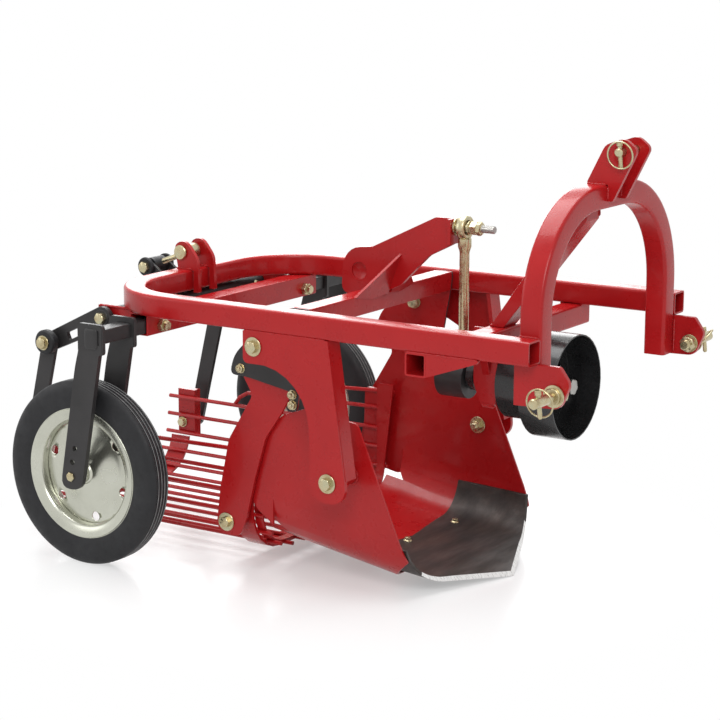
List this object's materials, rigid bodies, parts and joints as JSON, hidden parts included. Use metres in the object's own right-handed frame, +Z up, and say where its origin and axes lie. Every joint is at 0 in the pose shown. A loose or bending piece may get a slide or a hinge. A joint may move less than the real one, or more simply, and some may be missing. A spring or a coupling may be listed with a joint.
{
  "type": "potato digger",
  "caption": "Tractor-mounted potato digger: bent tube frame with hitch arch, U-shaped lifting share, shaken rod sieve on swing arms, and gauge wheels at the rear.",
  "frame": {"origin": "middle of the machine's bounding box, on the ground", "axes": "+X forward, towards the tractor; +Y to the machine's left; +Z up"},
  "size_m": [1.5011, 1, 0.9877],
  "materials": {
    "red_paint": "glossy powder coat",
    "black_paint": "satin",
    "yellow_zinc": "yellow zinc plating",
    "zinc_plate": "galvanised",
    "tyre": "matt",
    "rubber": "matt",
    "black_plastic": "semi-matt",
    "bare_steel": "bare rolled steel with light rust"
  },
  "bodies": {
    "chassis": {"main_frame": "red_paint", "hitch_arch": "red_paint", "top_link_ear_right": "red_paint", "top_link_ear_left": "red_paint", "mast_brace": "red_paint", "lower_hitch_plate_right": "red_paint", "lower_hitch_plate_left": "red_paint", "front_beam": "red_paint", "strut_right": "red_paint", "strut_left": "red_paint", "trough": "red_paint", "shaft_bearing": "red_paint", "bearing_bracket": "red_paint", "rocker_bracket_right": "red_paint", "rocker_bracket_left": "red_paint", "wheel_socket": "red_paint", "rear_rocker": "black_paint", "wheel_bar_right": "black_paint", "wheel_bar_left": "black_paint", "inner_leg_right": "black_paint", "outer_leg_right": "black_paint", "inner_leg_left": "black_paint", "outer_leg_left": "black_paint", "top_link_pin": "yellow_zinc", "lower_hitch_pin_right": "yellow_zinc", "lower_hitch_pin_left": "yellow_zinc", "share_bolt_right": "yellow_zinc", "share_bolt_left": "yellow_zinc", "arm_pivot_right": "yellow_zinc", "arm_pivot_left": "yellow_zinc", "rear_ear_bolt": "yellow_zinc", "rocker_adjuster": "yellow_zinc", "axle_right": "yellow_zinc", "axle_left": "yellow_zinc", "adjuster_bush": "rubber", "shaft_guard": "black_plastic", "share": "bare_steel"},
    "rocker": {"rocker_tube": "red_paint", "rocker_lever": "red_paint", "lever_stud": "yellow_zinc", "arm_flange_right": "black_paint", "arm_flange_left": "black_paint", "swing_arm_right": "red_paint", "swing_arm_left": "red_paint"},
    "connecting_rod": {"connecting_rod": "yellow_zinc", "rod_big_end": "black_paint"},
    "crank_shaft": {"crank_shaft": "bare_steel"},
    "sieve": {"sieve_grate": "red_paint", "sieve_bracket_right": "red_paint", "sieve_bracket_left": "red_paint", "sieve_bolt_right": "yellow_zinc", "sieve_bolt_left": "yellow_zinc"},
    "hanger_right": {"hanger_right": "black_paint"},
    "hanger_left": {"hanger_left": "black_paint"},
    "wheel_right": {"tyre_right": "tyre", "rim_right": "zinc_plate"},
    "wheel_left": {"tyre_left": "tyre", "rim_left": "zinc_plate"}
  },
  "joints": [
    {"name": "rocker_swing", "type": "hinge", "parent": "chassis", "child": "rocker", "pos_m": [0.0124, 0, 0.531], "axis": [0, -1, 0], "range_deg": [0, 4.6]},
    {"name": "rod_swing", "type": "hinge", "parent": "rocker", "child": "connecting_rod", "pos_m": [0.3194, 0, 0.77], "axis": [0, -1, 0], "range_deg": [-4.6, 0]},
    {"name": "sieve_swing", "type": "hinge", "parent": "rocker", "child": "sieve", "pos_m": [-0.1166, 0, 0.104], "axis": [0, -1, 0], "range_deg": [-4.85, 0]},
    {"name": "hanger_right_swing", "type": "hinge", "parent": "chassis", "child": "hanger_right", "pos_m": [-0.5946, -0.327, 0.469], "axis": [0, -1, 0], "range_deg": [0, 6.15]},
    {"name": "hanger_left_swing", "type": "hinge", "parent": "chassis", "child": "hanger_left", "pos_m": [-0.5946, 0.327, 0.469], "axis": [0, -1, 0], "range_deg": [0, 6.15]},
    {"name": "crank_turn", "type": "hinge", "parent": "chassis", "child": "crank_shaft", "pos_m": [0.4794, 0, 0.447], "axis": [1, 0, 0], "continuous": true},
    {"name": "wheel_right_turn", "type": "hinge", "parent": "chassis", "child": "wheel_right", "pos_m": [-0.3966, -0.434, 0.211], "axis": [0, 1, 0], "continuous": true},
    {"name": "wheel_left_turn", "type": "hinge", "parent": "chassis", "child": "wheel_left", "pos_m": [-0.3966, 0.434, 0.211], "axis": [0, 1, 0], "continuous": true}
  ],
  "couplings": [
    {"joint": "rod_swing", "follows": "rocker_swing", "ratio": -1},
    {"joint": "sieve_swing", "follows": "rocker_swing", "ratio": -1.05},
    {"joint": "hanger_right_swing", "follows": "rocker_swing", "ratio": 1.337},
    {"joint": "hanger_left_swing", "follows": "rocker_swing", "ratio": 1.337}
  ]
}
